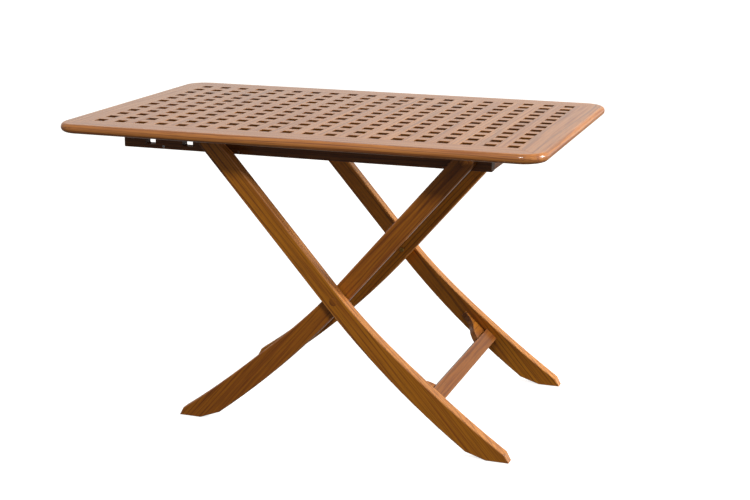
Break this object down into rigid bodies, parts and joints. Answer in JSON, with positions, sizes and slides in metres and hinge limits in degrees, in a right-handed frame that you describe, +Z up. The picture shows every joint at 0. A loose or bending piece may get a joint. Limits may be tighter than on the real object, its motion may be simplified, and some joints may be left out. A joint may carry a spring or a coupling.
{
  "type": "folding table",
  "caption": "Folding table with a slatted grating top on two crossed pairs of curved wooden legs",
  "frame": {"origin": "on the floor, below the middle of the tabletop", "axes": "+X along the tabletop towards the end where the inner frame is pivoted, +Y across it towards the back, +Z up"},
  "size_m": [1.11, 0.715, 0.697],
  "materials": {
    "teak_top": "oiled teak, planed and sanded, satin",
    "teak_frame": "oiled teak, planed and sanded, satin",
    "stainless": "turned stainless steel",
    "brass": "turned brass, dulled"
  },
  "bodies": {
    "tabletop": {"front_border": "teak_top", "back_border": "teak_top", "left_border": "teak_top", "right_border": "teak_top", "long_slat_01": "teak_top", "long_slat_02": "teak_top", "long_slat_03": "teak_top", "long_slat_04": "teak_top", "long_slat_05": "teak_top", "long_slat_06": "teak_top", "long_slat_07": "teak_top", "long_slat_08": "teak_top", "long_slat_09": "teak_top", "long_slat_10": "teak_top", "long_slat_11": "teak_top", "cross_slat_01": "teak_top", "cross_slat_02": "teak_top", "cross_slat_03": "teak_top", "cross_slat_04": "teak_top", "cross_slat_05": "teak_top", "cross_slat_06": "teak_top", "cross_slat_07": "teak_top", "cross_slat_08": "teak_top", "cross_slat_09": "teak_top", "cross_slat_10": "teak_top", "cross_slat_11": "teak_top", "cross_slat_12": "teak_top", "cross_slat_13": "teak_top", "cross_slat_14": "teak_top", "cross_slat_15": "teak_top", "cross_slat_16": "teak_top", "cross_slat_17": "teak_top", "cross_slat_18": "teak_top", "cross_slat_19": "teak_top", "corner_splines": "teak_top", "front_rail": "teak_frame", "back_rail": "teak_frame", "right_batten": "teak_frame", "rail_screws": "stainless", "batten_screws": "stainless", "rail_face_screws": "stainless", "top_pivot_bolts": "stainless", "top_pivot_washers": "stainless", "top_pivot_nuts": "stainless"},
    "inner_frame": {"inner_front_leg": "teak_frame", "inner_back_leg": "teak_frame", "inner_stretcher": "teak_frame", "inner_front_knee": "teak_frame", "inner_back_knee": "teak_frame", "top_pivot_plugs": "teak_frame"},
    "outer_frame": {"outer_front_leg": "teak_frame", "outer_back_leg": "teak_frame", "top_crossbar": "teak_frame", "outer_stretcher": "teak_frame", "outer_front_knee": "teak_frame", "outer_back_knee": "teak_frame", "mid_pivot_bolts": "stainless", "mid_pivot_plugs": "teak_frame", "mid_pivot_washers": "stainless", "mid_pivot_nuts": "brass"}
  },
  "joints": [
    {"name": "fold", "type": "hinge", "parent": "tabletop", "child": "inner_frame", "pos_m": [0.36067, 0, 0.651], "axis": [0, 1, 0], "range_deg": [0, 43]},
    {"name": "scissor", "type": "hinge", "parent": "inner_frame", "child": "outer_frame", "pos_m": [0.0775, 0, 0.3241], "axis": [0, 1, 0], "range_deg": [-85.61, 0]}
  ],
  "couplings": [
    {"joint": "scissor", "follows": "fold", "ratio": -1.9792}
  ]
}
